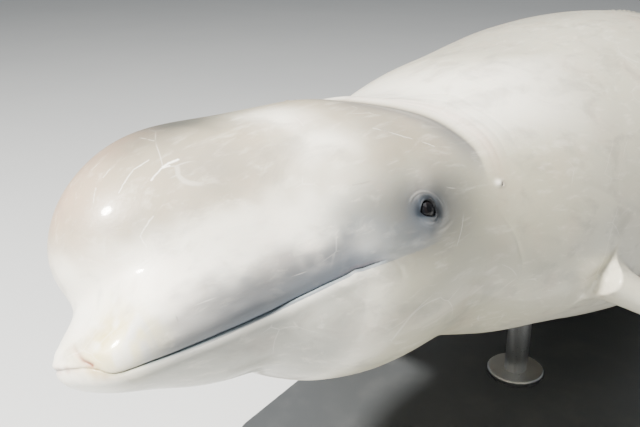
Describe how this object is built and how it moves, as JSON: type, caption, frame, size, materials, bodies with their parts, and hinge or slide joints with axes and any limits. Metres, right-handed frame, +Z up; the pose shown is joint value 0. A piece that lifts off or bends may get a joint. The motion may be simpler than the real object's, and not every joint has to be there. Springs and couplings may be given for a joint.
{
  "type": "beluga whale model",
  "caption": "Life-size still model of an adult beluga whale swimming with its head turned and tilted, on a flat base with two short rods.",
  "frame": {"origin": "centre of the underside of the stand's base, on the floor", "axes": "the whale faces -X with its tail toward +X, its right side is toward +Y, +Z is up"},
  "size_m": [4.0739, 1.1737, 0.9058],
  "materials": {
    "skin": "smooth wet ivory white skin with faint grey and beige mottling",
    "eye": "polished, near black",
    "rod_steel": "satin",
    "base_paint": "matte dark grey"
  },
  "bodies": {
    "root": {"head": "skin", "lower_jaw": "skin", "neck": "skin", "torso_chest": "skin", "torso_belly": "skin", "torso_loin": "skin", "tail_stock": "skin", "fluke_left": "skin", "fluke_right": "skin", "flipper_left": "skin", "flipper_right": "skin", "eye_left": "eye", "eye_right": "eye", "stand_rod_front": "rod_steel", "stand_rod_rear": "rod_steel", "stand_base": "base_paint"}
  },
  "joints": []
}
